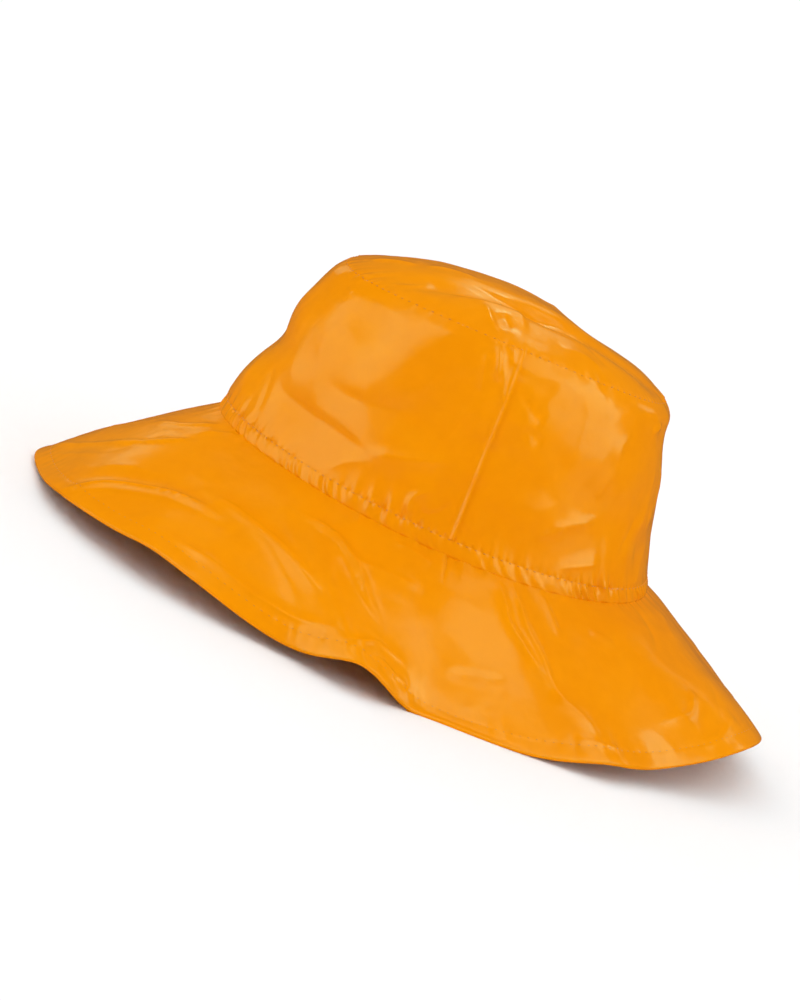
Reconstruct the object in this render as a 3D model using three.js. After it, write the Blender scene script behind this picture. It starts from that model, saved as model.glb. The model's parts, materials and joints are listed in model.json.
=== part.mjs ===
// A soft rain hat sewn from glossy coated cloth, standing on its brim.
// It has a puffed oval tip, a crown wall in two panels, a narrow band round the crown's base, and a wide
// waving brim in two panels with a turned-under hem.
// Millimetres, +Z up. The hat's front faces -Y and the wearer's left is +X. Angles run in degrees round the
// hat: 0 at the wearer's left, 90 at the back, -90 at the front.
import * as THREE from "three";

// Driving sizes.
const HEAD_LENGTH = 196; // the crown's opening inside the cloth, front to back
const HEAD_WIDTH = 162; // the same opening, side to side
const CROWN_HEIGHT = 82; // from the base seam up to the tip's seam
const TIP_LENGTH = 147; // the oval tip at its seam, front to back
const TIP_WIDTH = 121; // the same oval, side to side
const TIP_RISE = 15; // how far the tip puffs up above its seam
const BRIM_WIDTH = 81; // on the slant, from the base seam to the edge
const BAND_HEIGHT = 6; // the puckered band round the crown's base
const HEM_WIDTH = 9; // cloth turned under along the brim's edge
const CLOTH = 1.1; // every wall of cloth
const BAND_RAISE = 0.6; // how far the band stands out from the crown's wall
const WELT_WIDTH = 3; // raised lap at the side seams
const WELT_RAISE = 0.7;
const SEAM_GAP = 0.3; // clearance between neighbouring pieces
const HEAD_EGG = 6; // how much wider the opening is behind its middle than before it
const TIP_FORWARD = 1.5; // the tip sits this much further forward than the opening
const TIP_ARCH = 2.5; // the tip's seam is this much higher at the sides and lower at front and back
const BASE_DIP = 1.5; // the base seam is this much lower at the sides and higher at front and back
const REST_SOFTNESS = 1.6; // how gently the brim's edge bends flat where it rests
const REST_GIVE = 1.2; // how far the hem is pressed flat on the surface

// The height of the base seam above the resting edge, as a share of the brim's width.
const STAND_SHARE = 0.62;
// The tip's height falls from its middle to its seam with this power of the distance. Above 2 it looks puffed.
const TIP_PUFF = 2.5;

// Mesh fineness.
const ROUND_STEPS = 84; // columns round the whole hat
const WALL_ROWS = 12;
const BRIM_ROWS = 9;
const STRIP_ROWS = 2; // across the band and the hem
const TIP_STEPS = 15;

// The crown wall's outline from the base seam to the tip's seam. in: share of the way from the base oval to
// the tip oval. up: share of the crown's height.
const CROWN_PROFILE = [
  { in: 0, up: 0 },
  { in: 0.14, up: 0.14 },
  { in: 0.28, up: 0.32 },
  { in: 0.43, up: 0.48 },
  { in: 0.55, up: 0.66 },
  { in: 0.69, up: 0.81 },
  { in: 0.82, up: 0.93 },
  { in: 1, up: 1 },
];

// Slopes of the brim below level, in degrees, at the base seam and at the edge, for places round the hat.
// width: share of the brim's width.
const BRIM_SECTIONS = [
  { at: -128, seam: 36, edge: 54, width: 1.0 },
  { at: -98, seam: 35, edge: 43, width: 1.02 },
  { at: -84, seam: 33, edge: 44, width: 1.0 },
  { at: -68, seam: 27, edge: 40, width: 1.01 },
  { at: -54, seam: 25, edge: 36, width: 1.0 },
  { at: -38, seam: 26, edge: 33, width: 0.99 },
  { at: -22, seam: 26, edge: 43, width: 1.0 },
  { at: -8, seam: 28, edge: 40, width: 0.99 },
  { at: 10, seam: 31, edge: 49, width: 1.0 },
  { at: 28, seam: 31, edge: 40, width: 1.0 },
  { at: 41, seam: 24, edge: 42, width: 0.99 },
  { at: 54, seam: 17, edge: 32, width: 0.98 },
  { at: 68, seam: 19, edge: 27, width: 0.97 },
  { at: 84, seam: 25, edge: 31, width: 0.97 },
  { at: 105, seam: 27, edge: 38, width: 1.0 },
  { at: 130, seam: 31, edge: 47, width: 1.0 },
  { at: 155, seam: 33, edge: 54, width: 1.0 },
  { at: 178, seam: 29, edge: 44, width: 1.0 },
  { at: 200, seam: 26, edge: 40, width: 1.0 },
  { at: 216, seam: 32, edge: 47, width: 1.0 },
];

// Folds of the brim that run from the base seam out to the edge. seamAt, edgeAt and spread: degrees.
// lift: share of the brim's width at the edge, up or, if negative, down.
const BRIM_FOLDS = [
  { seamAt: -34, edgeAt: -9, spread: 6, lift: 0.12 },
  { seamAt: -8, edgeAt: 3, spread: 6, lift: -0.04 },
  { seamAt: 16, edgeAt: 33, spread: 6, lift: 0.05 },
  { seamAt: -62, edgeAt: -45, spread: 6, lift: 0.03 },
  { seamAt: 62, edgeAt: 52, spread: 7, lift: -0.04 },
  { seamAt: 120, edgeAt: 138, spread: 7, lift: 0.05 },
  { seamAt: 168, edgeAt: 190, spread: 6, lift: 0.07 },
  { seamAt: 232, edgeAt: 226, spread: 7, lift: 0.05 },
];

// Soft dents and, if negative, bulges of the crown's wall. at and wide: degrees. up and tall: shares of the
// crown's height. depth: share of the crown's height.
const CROWN_DENTS = [
  { at: -98, up: 0.2, wide: 24, tall: 0.2, depth: -0.03 },
  { at: -96, up: 0.46, wide: 16, tall: 0.1, depth: 0.022 },
  { at: -92, up: 0.72, wide: 18, tall: 0.14, depth: -0.02 },
  { at: -62, up: 0.3, wide: 12, tall: 0.1, depth: 0.018 },
  { at: -45, up: 0.58, wide: 14, tall: 0.2, depth: -0.018 },
  { at: -18, up: 0.5, wide: 10, tall: 0.22, depth: 0.02 },
  { at: 20, up: 0.62, wide: 12, tall: 0.2, depth: -0.018 },
  { at: 42, up: 0.34, wide: 12, tall: 0.12, depth: 0.02 },
  { at: 76, up: 0.3, wide: 14, tall: 0.14, depth: 0.028 },
  { at: 84, up: 0.78, wide: 22, tall: 0.2, depth: 0.034 },
  { at: 110, up: 0.6, wide: 16, tall: 0.22, depth: -0.02 },
  { at: 140, up: 0.4, wide: 12, tall: 0.16, depth: 0.022 },
  { at: 172, up: 0.58, wide: 12, tall: 0.24, depth: 0.02 },
  { at: 212, up: 0.38, wide: 14, tall: 0.16, depth: -0.018 },
  { at: 238, up: 0.66, wide: 12, tall: 0.16, depth: 0.02 },
];

// Creases across the tip, from one point to another. x and y: shares of the tip's half width and half length.
// spread: share of the tip's half width. depth: share of the tip's rise.
const TIP_CREASES = [
  { fromX: 0.5, fromY: -0.72, toX: 0.42, toY: 0.1, spread: 0.12, depth: 0.16 },
  { fromX: 0.42, fromY: 0.1, toX: 0.3, toY: 0.82, spread: 0.13, depth: 0.2 },
  { fromX: -0.1, fromY: 0.5, toX: -0.8, toY: 0.6, spread: 0.26, depth: 0.3 },
  { fromX: -0.45, fromY: -0.6, toX: -0.35, toY: 0.2, spread: 0.16, depth: 0.14 },
];

// Half axes of the two seams' ovals, x then y.
const BASE_OVAL = { x: HEAD_WIDTH / 2 + CLOTH, y: HEAD_LENGTH / 2 + CLOTH, egg: HEAD_EGG, shift: 0 };
const TIP_OVAL = { x: TIP_WIDTH / 2, y: TIP_LENGTH / 2, egg: 0, shift: -TIP_FORWARD };
const EDGE_THICKNESS = 2 * CLOTH + SEAM_GAP; // brim and hem together
const BASE_SEAM_Z = BRIM_WIDTH * STAND_SHARE + EDGE_THICKNESS;

const { degToRad, lerp, euclideanModulo, smoothstep } = THREE.MathUtils;
const bell = (distance, spread) => Math.exp(-((distance / spread) ** 2));
const turnBetween = (from, to) => euclideanModulo(to - from + 180, 360) - 180;

// A column of a table of places round the hat, as a smooth closed function of the angle.
function roundTheHat(rows, column) {
  const count = rows.length;
  const row = (i) => rows[euclideanModulo(i, count)];
  const step = (i) => euclideanModulo(row(i + 1).at - row(i).at, 360);
  const slope = (i) => (row(i + 1)[column] - row(i - 1)[column]) / (step(i) + step(i - 1));
  return (angle) => {
    const i = rows.findIndex((r, k) => euclideanModulo(angle - r.at, 360) < step(k));
    const t = euclideanModulo(angle - row(i).at, 360) / step(i);
    const [here, next] = [row(i)[column], row(i + 1)[column]];
    const [leave, arrive] = [slope(i) * step(i), slope(i + 1) * step(i)];
    return (
      here * (2 * t ** 3 - 3 * t ** 2 + 1) +
      leave * (t ** 3 - 2 * t ** 2 + t) +
      next * (3 * t ** 2 - 2 * t ** 3) +
      arrive * (t ** 3 - t ** 2)
    );
  };
}

const brimSeamSlope = roundTheHat(BRIM_SECTIONS, "seam");
const brimEdgeSlope = roundTheHat(BRIM_SECTIONS, "edge");
const brimShare = roundTheHat(BRIM_SECTIONS, "width");
const crownOutline = new THREE.SplineCurve(CROWN_PROFILE.map((p) => new THREE.Vector2(p.in, p.up)));

// A point of a level oval, and the way out from it.
function ovalPoint(oval, angle, z) {
  const turn = degToRad(angle);
  const halfWidth = oval.x + oval.egg * Math.sin(turn);
  return new THREE.Vector3(halfWidth * Math.cos(turn), oval.shift + oval.y * Math.sin(turn), z);
}

function wayOut(oval, angle) {
  const turn = degToRad(angle);
  return new THREE.Vector3(Math.cos(turn) / oval.x, Math.sin(turn) / oval.y, 0).normalize();
}

// 1 at the sides and -1 at front and back.
const sideways = (angle) => Math.cos(2 * degToRad(angle));
const baseSeam = (angle) => ovalPoint(BASE_OVAL, angle, BASE_SEAM_Z - BASE_DIP * sideways(angle));
const tipSeam = (angle) =>
  ovalPoint(TIP_OVAL, angle, BASE_SEAM_Z + CROWN_HEIGHT + TIP_ARCH * sideways(angle));

// Bends a falling height flat as it comes down to the lowest level that it may reach.
function restOn(level, z) {
  const above = z - level;
  return level + (above + Math.hypot(above, REST_SOFTNESS)) / 2;
}

// The brim's upper face. share runs from the base seam, 0, to the edge, 1, along an arc whose slope turns
// evenly from the seam's to the edge's.
function brimPoint(angle, share) {
  const width = BRIM_WIDTH * brimShare(angle);
  const from = degToRad(brimSeamSlope(angle));
  const to = degToRad(brimEdgeSlope(angle));
  const slope = lerp(from, to, share);
  const middle = lerp(from, slope, 0.5);
  const chord = width * share * Math.cos((slope - from) / 2);
  const out = wayOut(BASE_OVAL, angle);
  let lift = 0;
  for (const fold of BRIM_FOLDS) {
    const centre = lerp(fold.seamAt, fold.edgeAt, share);
    lift += fold.lift * bell(turnBetween(centre, angle), fold.spread) * Math.max(share, 0) ** 1.5;
  }
  const point = baseSeam(angle);
  point.addScaledVector(out, chord * Math.cos(middle) + lift * BRIM_WIDTH * Math.sin(slope));
  point.z += lift * BRIM_WIDTH * Math.cos(slope) - chord * Math.sin(middle);
  const atEdge = smoothstep(share, 0.4, 0.9);
  point.z = lerp(point.z, restOn(EDGE_THICKNESS, point.z), atEdge);
  return point;
}

// The crown wall's outer face. share runs from the base seam, 0, to the tip's seam, 1.
function wallPoint(angle, share) {
  const outline = crownOutline.getPoint(share);
  const [base, tip] = [baseSeam(angle), tipSeam(angle)];
  let depth = 0;
  for (const dent of CROWN_DENTS) {
    const across = bell(turnBetween(dent.at, angle), dent.wide);
    depth += dent.depth * across * bell(outline.y - dent.up, dent.tall);
  }
  const point = new THREE.Vector3(
    lerp(base.x, tip.x, outline.x),
    lerp(base.y, tip.y, outline.x),
    lerp(base.z, tip.z, outline.y),
  );
  // The dents die out towards both seams.
  const free = smoothstep(outline.y, 0, 0.12) * (1 - smoothstep(outline.y, 0.85, 1));
  return point.addScaledVector(wayOut(BASE_OVAL, angle), -depth * free * CROWN_HEIGHT);
}

// The tip's outer face. share runs from its middle, 0, to its seam, 1.
function tipPoint(angle, share) {
  const turn = degToRad(angle);
  const spot = new THREE.Vector2(share * Math.cos(turn), share * Math.sin(turn));
  let fall = share ** TIP_PUFF;
  for (const crease of TIP_CREASES) {
    const from = new THREE.Vector2(crease.fromX, crease.fromY);
    const run = new THREE.Vector2(crease.toX, crease.toY).sub(from);
    const along = THREE.MathUtils.clamp(spot.clone().sub(from).dot(run) / run.lengthSq(), 0, 1);
    const away = spot.distanceTo(from.addScaledVector(run, along));
    fall += crease.depth * bell(away, crease.spread) * (1 - share ** 4);
  }
  const middle = new THREE.Vector3(0, TIP_OVAL.shift, BASE_SEAM_Z + CROWN_HEIGHT);
  const point = ovalPoint(TIP_OVAL, angle, middle.z).lerp(middle, 1 - share);
  point.z += TIP_ARCH * sideways(angle) * share ** 2 + TIP_RISE * (1 - fall);
  return point;
}

// The hat's whole outer face. along runs from the brim's edge, -1, in to the base seam, 0, up the crown's wall
// to the tip's seam, 1, and over the tip to its middle, 2.
function outerFace(angle, along) {
  if (along < 0) return brimPoint(angle, -along);
  if (along < 1) return wallPoint(angle, along);
  return tipPoint(angle, 2 - along);
}

// The tip's face over a disc of radius 1, for a mesh with no pole at its middle.
function tipFace(across, back) {
  const angle = THREE.MathUtils.radToDeg(Math.atan2(back, across));
  return outerFace(angle, 2 - Math.hypot(across, back));
}

// Even steps from one value to another, both included.
const steps = (from, to, count) => Array.from({ length: count + 1 }, (_, i) => lerp(from, to, i / count));

// A closed wall of cloth. face gives its outer side at a column and a row, out tells how far the cloth stands
// out there, spot turns a column and a row into what face takes, and reach is how far face is felt each way.
function clothGeometry({ face, columns, rows, closed = false, out = () => 0, reach, spot }) {
  const place = spot ?? ((column, row) => [column, row]);
  const corners = { outer: [], inner: [] };
  for (const column of columns) {
    for (const row of rows) {
      const [a, b] = place(column, row);
      const alongA = face(a + reach[0], b).sub(face(a - reach[0], b));
      const alongB = face(a, b + reach[1]).sub(face(a, b - reach[1]));
      const normal = alongA.cross(alongB).normalize();
      const raise = out(column, row);
      corners.outer.push(face(a, b).addScaledVector(normal, raise));
      corners.inner.push(face(a, b).addScaledVector(normal, raise - CLOTH));
    }
  }
  const points = [...corners.outer, ...corners.inner];
  for (const point of points) point.z = Math.max(point.z, REST_GIVE);

  const [wide, tall] = [columns.length, rows.length];
  const outer = (i, j) => (i % wide) * tall + j;
  const inner = (i, j) => wide * tall + outer(i, j);
  const index = [];
  const quad = (a, b, c, d) => index.push(a, b, d, b, c, d);
  for (let i = 0; i < (closed ? wide : wide - 1); i++) {
    for (let j = 0; j < tall - 1; j++) {
      quad(outer(i, j), outer(i + 1, j), outer(i + 1, j + 1), outer(i, j + 1));
      quad(inner(i, j), inner(i, j + 1), inner(i + 1, j + 1), inner(i + 1, j));
    }
    const last = tall - 1;
    quad(inner(i, 0), inner(i + 1, 0), outer(i + 1, 0), outer(i, 0));
    quad(outer(i, last), outer(i + 1, last), inner(i + 1, last), inner(i, last));
  }
  if (!closed) {
    const last = wide - 1;
    for (let j = 0; j < tall - 1; j++) {
      quad(outer(0, j), outer(0, j + 1), inner(0, j + 1), inner(0, j));
      quad(inner(last, j), inner(last, j + 1), outer(last, j + 1), outer(last, j));
    }
  }
  const geometry = new THREE.BufferGeometry().setFromPoints(points);
  geometry.setIndex(index);
  geometry.computeVertexNormals();
  return geometry;
}

// How far on each side the outer face is felt for its slope: degrees, then shares.
const FACE_REACH = [0.5, 0.015];
const TIP_REACH = [0.02, 0.02];
const WALL_GAP = SEAM_GAP / 2 / CROWN_HEIGHT;
const BRIM_GAP = SEAM_GAP / 2 / BRIM_WIDTH;
const BAND_SHARE = BAND_HEIGHT / CROWN_HEIGHT;
const HEM_SHARE = HEM_WIDTH / BRIM_WIDTH;

// Half of the gap at a side seam, and the welt beside it, in degrees, on an oval of that half length.
const gapTurn = (halfLength) => THREE.MathUtils.radToDeg(SEAM_GAP / 2 / halfLength);
const WELT_TURN = THREE.MathUtils.radToDeg(WELT_WIDTH / BASE_OVAL.y);
const WELT_FOOT_SHARE = 1.25; // the welt has come down to the cloth at this share of its width

const ringColumns = steps(0, 360, ROUND_STEPS).slice(0, -1);
const hemRows = steps(-1, -1 + HEM_SHARE, STRIP_ROWS);
const bandEnd = crownShareAt(BAND_SHARE);

// The share along the crown's wall at which its outline has risen to a share of the crown's height.
function crownShareAt(up) {
  let [low, high] = [0, 1];
  for (let i = 0; i < 40; i++) {
    const middle = (low + high) / 2;
    if (crownOutline.getPoint(middle).y < up) low = middle;
    else high = middle;
  }
  return low;
}

function crownTip() {
  const edge = 1 - SEAM_GAP / 2 / TIP_OVAL.x;
  return clothGeometry({
    face: tipFace,
    columns: steps(-1, 1, TIP_STEPS),
    rows: steps(-1, 1, TIP_STEPS),
    reach: TIP_REACH,
    spot: (u, v) => [edge * u * Math.sqrt(1 - v * v / 2), edge * v * Math.sqrt(1 - u * u / 2)],
  });
}

// Half of the crown's wall, from one side seam to the other. A lapped panel is raised along both seams: its
// welt has a column at its middle and its edge, and one more where it has come down to the cloth.
function crownPanel(from, lapped) {
  const to = from + 180;
  const gap = gapTurn(TIP_OVAL.y);
  const weltFoot = WELT_TURN * WELT_FOOT_SHARE;
  const welt = lapped ? [WELT_TURN / 2, WELT_TURN, weltFoot] : [];
  const inside = steps(from, to, ROUND_STEPS / 2).filter((a) => a - from > weltFoot && to - a > weltFoot);
  const near = welt.map((away) => from + away);
  const far = welt.map((away) => to - away).reverse();
  const out = (angle) => (lapped && Math.min(angle - from, to - angle) < weltFoot - gap ? WELT_RAISE : 0);
  const columns = [from + gap, ...near, ...inside, ...far, to - gap];
  return clothGeometry({
    face: outerFace,
    columns,
    rows: steps(bandEnd + WALL_GAP, 1 - WALL_GAP, WALL_ROWS),
    reach: FACE_REACH,
    out,
  });
}

function baseBand() {
  return clothGeometry({
    face: outerFace,
    columns: ringColumns,
    rows: steps(WALL_GAP, bandEnd - WALL_GAP, STRIP_ROWS),
    reach: FACE_REACH,
    closed: true,
    out: () => BAND_RAISE,
  });
}

function brimPanel(from) {
  const gap = gapTurn(BASE_OVAL.y);
  return clothGeometry({
    face: outerFace,
    columns: [from + gap, ...steps(from, from + 180, ROUND_STEPS / 2).slice(1, -1), from + 180 - gap],
    rows: [...hemRows.slice(0, -1), ...steps(-1 + HEM_SHARE, -BRIM_GAP, BRIM_ROWS)],
    reach: FACE_REACH,
  });
}

// The cloth turned under along the brim's edge, just below the two brim panels.
function brimHem() {
  return clothGeometry({
    face: outerFace,
    columns: ringColumns,
    rows: hemRows,
    reach: FACE_REACH,
    closed: true,
    out: () => -CLOTH - SEAM_GAP,
  });
}

const glossyCloth = () => new THREE.MeshStandardMaterial({ color: 0xf79400, roughness: 0.25, metalness: 0 });

function piece(name, geometry) {
  const mesh = new THREE.Mesh(geometry, glossyCloth());
  mesh.name = name;
  return mesh;
}

const hat = new THREE.Group();
hat.add(
  piece("crown_tip", crownTip()),
  piece("crown_front_panel", crownPanel(-180, true)),
  piece("crown_back_panel", crownPanel(0, false)),
  piece("base_band", baseBand()),
  piece("brim_front_panel", brimPanel(-180)),
  piece("brim_back_panel", brimPanel(0)),
  piece("brim_hem", brimHem()),
);

// The hat stands with the middle of its outline's box, at the bottom, on the origin.
const box = new THREE.Box3().setFromObject(hat);
hat.position.set(-(box.min.x + box.max.x) / 2, -(box.min.y + box.max.y) / 2, -box.min.z);

export default hat;
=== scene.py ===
"""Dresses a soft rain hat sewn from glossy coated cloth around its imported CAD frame."""
import json
import math

import bpy
import numpy as np
from mathutils import Matrix, Vector


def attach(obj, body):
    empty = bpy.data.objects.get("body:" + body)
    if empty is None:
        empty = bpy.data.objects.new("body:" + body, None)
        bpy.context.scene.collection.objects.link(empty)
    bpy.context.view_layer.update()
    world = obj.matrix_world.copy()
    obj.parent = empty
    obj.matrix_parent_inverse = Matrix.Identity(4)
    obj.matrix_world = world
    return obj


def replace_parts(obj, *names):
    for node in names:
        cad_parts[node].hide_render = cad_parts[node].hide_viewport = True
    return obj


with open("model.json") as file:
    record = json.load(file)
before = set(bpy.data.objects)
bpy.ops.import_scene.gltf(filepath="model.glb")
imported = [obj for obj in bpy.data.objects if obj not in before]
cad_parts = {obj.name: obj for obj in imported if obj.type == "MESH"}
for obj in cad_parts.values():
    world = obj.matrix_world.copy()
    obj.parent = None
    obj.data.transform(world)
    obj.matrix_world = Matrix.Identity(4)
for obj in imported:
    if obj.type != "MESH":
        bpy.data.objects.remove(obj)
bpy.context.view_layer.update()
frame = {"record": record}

bl_info = {
    "name": "Rain Hat",
    "version": (1, 0, 0),
    "blender": (4, 5, 0),
    "location": "3D View > Sidebar > Rain Hat",
    "description": "Sews the cloth, folds and stitches of a soft rain hat over its frame",
    "category": "Object",
}

MM = 0.001

# Main sizes of the hat in millimetres, the same as in its frame.
BRIM_WIDTH = 81.0
CROWN_HEIGHT = 82.0
BAND_HEIGHT = 6.0
BASE_AXES = (82.1, 99.1)
BASE_EGG = 6.0
TIP_AXES = (60.5, 73.5)
TIP_SHIFT = -1.5
TIP_RISE = 15.0
TIP_PUFF = 2.5
TIP_ARCH = 2.5
BASE_DIP = 1.5
EDGE_THICKNESS = 2.5
BASE_SEAM_Z = BRIM_WIDTH * 0.62 + EDGE_THICKNESS
REST_SOFTNESS = 1.6

# The middle of the base seam in the frame, and the way from the tables' own axes to the frame's, in mm.
SEAM_MIDDLE = Vector(next(m["pos_m"] for m in frame["record"]["mounts"] if m["name"] == "head_opening"))
SHIFT = np.array([-1.07, -2.67, -1.20])

# The crown wall's outline from the base seam to the tip's seam: share of the way in, share of the height.
CROWN_PROFILE = (
    (0, 0), (0.14, 0.14), (0.28, 0.32), (0.43, 0.48), (0.55, 0.66), (0.69, 0.81), (0.82, 0.93), (1, 1),
)

# Angles run in degrees round the hat: 0 at the wearer's left, 90 at the back, -90 at the front.
# The brim: angle, slope below level at the base seam, slope at the edge, share of the brim's width.
BRIM_SECTIONS = (
    (-128, 36, 54, 1.0), (-98, 35, 43, 1.02), (-84, 33, 44, 1.0), (-68, 27, 40, 1.01), (-54, 25, 36, 1.0),
    (-38, 26, 33, 0.99), (-22, 26, 43, 1.0), (-8, 28, 40, 0.99), (10, 31, 49, 1.0), (28, 31, 40, 1.0),
    (41, 24, 42, 0.99), (54, 17, 32, 0.98), (68, 19, 27, 0.97), (84, 25, 31, 0.97), (105, 27, 38, 1.0),
    (130, 31, 47, 1.0), (155, 33, 54, 1.0), (178, 29, 44, 1.0), (200, 26, 40, 1.0), (216, 32, 47, 1.0),
)
# The brim's large folds: angle at the base seam, angle at the edge, spread in degrees, share of the width.
BRIM_FOLDS = (
    (-34, -9, 6, 0.12), (-8, 3, 6, -0.04), (16, 33, 6, 0.05), (-62, -45, 6, 0.03), (62, 52, 7, -0.04),
    (120, 138, 7, 0.05), (168, 190, 6, 0.07), (232, 226, 7, 0.05),
)
# Dents of the crown's wall: angle, share of the height, how wide, how tall, depth as a share of the height.
CROWN_DENTS = (
    (-98, 0.2, 24, 0.2, -0.03), (-96, 0.46, 16, 0.1, 0.022), (-92, 0.72, 18, 0.14, -0.02),
    (-62, 0.3, 12, 0.1, 0.018), (-45, 0.58, 14, 0.2, -0.018), (-18, 0.5, 10, 0.22, 0.02),
    (20, 0.62, 12, 0.2, -0.018), (42, 0.34, 12, 0.12, 0.02), (76, 0.3, 14, 0.14, 0.028),
    (84, 0.78, 22, 0.2, 0.034), (110, 0.6, 16, 0.22, -0.02), (140, 0.4, 12, 0.16, 0.022),
    (172, 0.58, 12, 0.24, 0.02), (212, 0.38, 14, 0.16, -0.018), (238, 0.66, 12, 0.16, 0.02),
)
# The tip's large creases: from x and y, to x and y, spread, depth, all as shares.
TIP_CREASES = (
    (0.5, -0.72, 0.42, 0.1, 0.12, 0.16), (0.42, 0.1, 0.3, 0.82, 0.13, 0.2),
    (-0.1, 0.5, -0.8, 0.6, 0.26, 0.3), (-0.45, -0.6, -0.35, 0.2, 0.16, 0.14),
)

# Fine creases of the crown: height in mm, width to the line's left and to its right as it runs, sharpness,
# and its points as angle and along, which is -1 at the brim's edge, 0 at the base seam and 1 at the tip's.
CROWN_FOLDS = (
    (-0.9, 1.3, 5.0, 1.1, ((-50, 0.42), (-41, 0.42), (-35.5, 0.43), (-29.5, 0.45), (-21, 0.475))),
    (-0.9, 1.2, 4.5, 1.1, ((-68, 0.275), (-58, 0.27), (-48, 0.27), (-38, 0.26), (-33, 0.25), (-26, 0.235))),
    (0.9, 1.9, 3.4, 1.3, ((-30, 0.24), (-18.5, 0.29), (-5, 0.38))),
    (0.3, 2.2, 4.0, 1.3, ((-44, 0.58), (-37, 0.62), (-26, 0.61))),
    (1.0, 1.5, 1.8, 1.1, ((22, 0.25), (27, 0.28), (33, 0.31), (40, 0.36))),
    (0.6, 1.4, 1.8, 1.1, ((19, 0.21), (24, 0.24), (28, 0.27))),
    (0.9, 1.5, 1.8, 1.1, ((28, 0.115), (33, 0.14), (38, 0.16), (43, 0.185))),
    (-0.7, 1.1, 2.2, 1.1, ((6, 0.575), (9.5, 0.58), (13.5, 0.555))),
    (-0.5, 1.5, 3.0, 1.2, ((2, 0.72), (8, 0.66), (12, 0.64))),
    (1.3, 1.1, 1.8, 1.1, ((-9.5, 1.0), (-8.2, 0.90), (-6.5, 0.80), (-5, 0.72))),
    (0.9, 1.1, 1.8, 1.1, ((-7.5, 0.94), (-5.5, 0.82), (-3, 0.72), (-1.5, 0.62))),
    (0.8, 1.1, 1.4, 1.1, ((-5.2, 1.0), (-3.8, 0.92), (-2.4, 0.84))),
    (0.7, 1.3, 1.8, 1.2, ((-11.5, 0.86), (-10, 0.76), (-8.2, 0.64))),
    (1.3, 1.7, 2.4, 1.15, ((-12, 0.09), (-13.5, 0.14), (-12.5, 0.19), (-8, 0.23))),
    (-0.7, 1.3, 2.2, 1.1, ((-11, 0.14), (-8, 0.14), (-5.5, 0.17), (-4, 0.21))),
    (0.6, 1.6, 2.2, 1.2, ((44, 0.74), (40, 0.66), (40, 0.58))),
    (0.6, 1.6, 2.2, 1.2, ((41, 0.56), (37, 0.49), (36, 0.42))),
    (-0.6, 1.4, 3.0, 1.2, ((-76, 0.34), (-70, 0.24), (-66, 0.14))),
    (0.5, 1.6, 2.2, 1.2, ((-36, 0.10), (-33, 0.17), (-27, 0.22))),
)
# Fine creases of the brim, in the same way.
BRIM_CREASES = (
    (2.6, 3.4, 1.8, 1.3, ((-71, -1.1), (-66, -0.91), (-62.5, -0.78), (-56, -0.67), (-47, -0.59), (-41, -0.56))),
    (2.2, 3.4, 4.0, 1.5, ((-52, -0.47), (-45, -0.475), (-38, -0.485), (-31, -0.51), (-25, -0.58), (-20, -0.67))),
    (1.7, 3.0, 2.0, 1.3, ((-49, -0.88), (-42, -0.87), (-35.5, -0.86), (-27.5, -0.86), (-20, -0.85), (-14, -0.84))),
    (1.8, 2.6, 2.0, 1.25, (
        (-39, -0.235), (-32, -0.25), (-24, -0.26), (-19.5, -0.32), (-16, -0.40), (-13, -0.52), (-8, -0.66),
    )),
    (0.9, 2.6, 3.6, 1.4, ((-20, -0.34), (-14, -0.315), (-8, -0.30), (-3, -0.31))),
    (0.7, 2.0, 2.6, 1.3, ((-13, -0.07), (-7.5, -0.08), (-3, -0.11))),
    (1.0, 2.0, 2.4, 1.2, ((-14, -0.90), (-11, -0.86), (-8, -0.77), (-2, -0.78))),
    (0.9, 2.0, 2.4, 1.3, ((-8, -0.87), (-5, -0.89), (-1, -0.89))),
    (-0.9, 1.5, 3.4, 1.2, ((4, -0.70), (8, -0.665), (12, -0.64), (16, -0.62))),
    (1.5, 1.8, 3.0, 1.1, ((13, 0.0), (14.3, -0.15), (15.7, -0.29), (18.5, -0.39), (21.5, -0.52), (24.5, -0.64))),
    (1.5, 1.8, 3.0, 1.1, ((16.5, 0.0), (18.2, -0.14), (19.5, -0.27), (22, -0.40), (24, -0.58), (26.5, -0.69))),
    (1.5, 2.6, 3.2, 1.3, ((23.5, -0.62), (26, -0.685), (28.5, -0.745), (32, -0.86))),
    (0.9, 1.6, 2.4, 1.2, ((25, -0.03), (26.5, -0.15), (28, -0.30))),
    (1.1, 1.6, 2.6, 1.1, ((58, -0.61), (56.5, -0.64), (53.5, -0.72), (45, -0.76))),
    (0.9, 2.4, 3.0, 1.3, ((66, -0.80), (60, -0.87), (53, -0.95))),
    (0.6, 1.4, 1.8, 1.2, ((27, -0.875), (31, -0.89), (37, -0.91))),
    (0.7, 1.6, 2.4, 1.2, ((-98.5, -0.93), (-89, -0.72), (-79, -0.48))),
    (0.7, 1.6, 2.4, 1.2, ((-92, -0.34), (-81.5, -0.20), (-74, -0.03))),
    (0.5, 1.6, 2.4, 1.2, ((-74, -0.18), (-69, -0.07), (-67, -0.01))),
    (0.5, 1.6, 2.2, 1.3, ((36, -0.20), (40, -0.25), (42, -0.31))),
    (0.5, 2.6, 3.0, 1.3, ((-72, -0.75), (-66, -0.62), (-58, -0.54))),
)
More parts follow.
